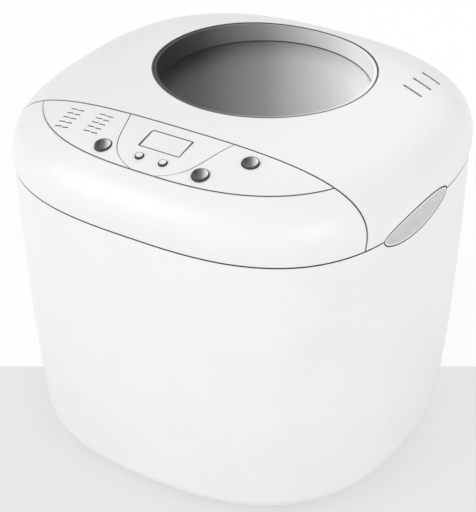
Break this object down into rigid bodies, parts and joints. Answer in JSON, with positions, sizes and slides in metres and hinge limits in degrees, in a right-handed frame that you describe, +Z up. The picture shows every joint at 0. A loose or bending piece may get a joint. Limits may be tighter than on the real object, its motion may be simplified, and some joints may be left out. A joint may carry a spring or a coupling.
{
  "type": "bread machine",
  "caption": "Countertop bread machine: tapered white tub, domed hinged lid with deep round window, sloping control panel with display and push buttons, lift-out pan with belt-driven paddle.",
  "frame": {"origin": "on the resting plane under the middle of the machine", "axes": "+Z up, -Y the front with the control panel, +X to the machine's right as seen from the front"},
  "size_m": [0.3292, 0.3212, 0.2976],
  "materials": {
    "white_gloss": "satin",
    "white_inner": "matt",
    "window_collar": "satin",
    "smoked_glass": "polished",
    "clear_lens": "polished",
    "display_grey": "matt",
    "dark_button": "satin",
    "white_button": "satin",
    "rubber": "matt",
    "silicone": "matt",
    "zinc_steel": "satin",
    "oven_steel": "satin",
    "shaft_steel": "polished",
    "element_sheath": "matt",
    "ceramic": "matt",
    "sensor_metal": "satin",
    "nonstick": "satin",
    "cast_alloy": "cast",
    "bronze": "satin",
    "lamination": "matt",
    "black_plastic": "matt",
    "circuit_board": "satin",
    "capacitor_can": "satin"
  },
  "bodies": {
    "casing": {"body_shell": "white_gloss", "base_plate": "white_inner", "feet": "rubber", "top_deck": "white_inner", "grip_cups": "white_gloss", "cord_grommet": "rubber", "casing_screws": "zinc_steel", "hinge_pins": "zinc_steel", "control_cowl": "white_gloss", "control_panel": "white_gloss", "display_bezel": "white_gloss", "lcd_window": "clear_lens", "lcd_module": "display_grey", "control_board": "circuit_board", "key_switches": "black_plastic", "oven_chamber": "oven_steel", "heating_element": "element_sheath", "element_bushings": "ceramic", "oven_sensors": "sensor_metal", "pan_socket": "zinc_steel", "spring_clips": "zinc_steel", "chassis_plate": "zinc_steel", "bearing_housing": "cast_alloy", "shaft_bushes": "bronze", "drive_belt": "rubber", "motor_core": "lamination", "motor_caps": "cast_alloy", "motor_mounts": "zinc_steel", "power_board": "circuit_board", "board_components": "black_plastic", "motor_capacitor": "capacitor_can"},
    "lid": {"lid_shell": "white_gloss", "lid_liner": "oven_steel", "window_glass": "smoked_glass", "window_seal": "silicone", "window_frame": "window_collar", "lid_bumpers": "rubber", "lid_screws": "zinc_steel"},
    "pan": {"bread_pan": "nonstick", "pan_foot": "zinc_steel", "pan_bush": "cast_alloy", "pan_seal": "silicone", "bail_ears": "zinc_steel"},
    "bail": {"bail_handle": "shaft_steel"},
    "paddle": {"kneading_paddle": "nonstick", "pan_shaft": "shaft_steel", "pan_coupling": "cast_alloy", "shaft_retainer": "zinc_steel"},
    "drive": {"drive_shaft": "shaft_steel", "drive_coupling": "cast_alloy", "drive_pulley": "cast_alloy", "shaft_nut": "zinc_steel"},
    "rotor": {"motor_pulley": "cast_alloy", "motor_shaft": "shaft_steel", "motor_fan": "black_plastic"},
    "left_button": {"left_button": "dark_button"},
    "middle_button": {"middle_button": "dark_button"},
    "right_button": {"right_button": "dark_button"},
    "small_button_left": {"small_button_left": "white_button"},
    "small_button_right": {"small_button_right": "white_button"}
  },
  "joints": [
    {"name": "lid_hinge", "type": "hinge", "parent": "casing", "child": "lid", "pos_m": [0, 0.1566, 0.246], "axis": [-1, 0, 0], "range_deg": [0, 85]},
    {"name": "pan_lift", "type": "slide", "parent": "casing", "child": "pan", "axis": [0, 0, 1], "range_m": [0, 0.014]},
    {"name": "bail_swing", "type": "hinge", "parent": "pan", "child": "bail", "pos_m": [0, 0.03, 0.216], "axis": [1, 0, 0], "range_deg": [0, 17]},
    {"name": "drive_spin", "type": "hinge", "parent": "casing", "child": "drive", "pos_m": [0, 0.03, 0.02], "axis": [0, 0, 1], "continuous": true},
    {"name": "motor_spin", "type": "hinge", "parent": "casing", "child": "rotor", "pos_m": [-0.06, -0.098, 0.02], "axis": [0, 0, 1], "continuous": true},
    {"name": "paddle_spin", "type": "hinge", "parent": "pan", "child": "paddle", "pos_m": [0, 0.03, 0.08], "axis": [0, 0, 1], "continuous": true},
    {"name": "left_press", "type": "slide", "parent": "casing", "child": "left_button", "axis": [0, 0.2079, -0.9781], "range_m": [0, 0.0012], "stiffness_N_per_m": 800},
    {"name": "middle_press", "type": "slide", "parent": "casing", "child": "middle_button", "axis": [0, 0.2079, -0.9781], "range_m": [0, 0.0012], "stiffness_N_per_m": 800},
    {"name": "right_press", "type": "slide", "parent": "casing", "child": "right_button", "axis": [0, 0.2079, -0.9781], "range_m": [0, 0.0012], "stiffness_N_per_m": 800},
    {"name": "small_press_left", "type": "slide", "parent": "casing", "child": "small_button_left", "axis": [0, 0.2079, -0.9781], "range_m": [0, 0.0012], "stiffness_N_per_m": 800},
    {"name": "small_press_right", "type": "slide", "parent": "casing", "child": "small_button_right", "axis": [0, 0.2079, -0.9781], "range_m": [0, 0.0012], "stiffness_N_per_m": 800}
  ],
  "couplings": [
    {"joint": "paddle_spin", "follows": "drive_spin", "ratio": 1},
    {"joint": "motor_spin", "follows": "drive_spin", "ratio": 6.1111}
  ]
}
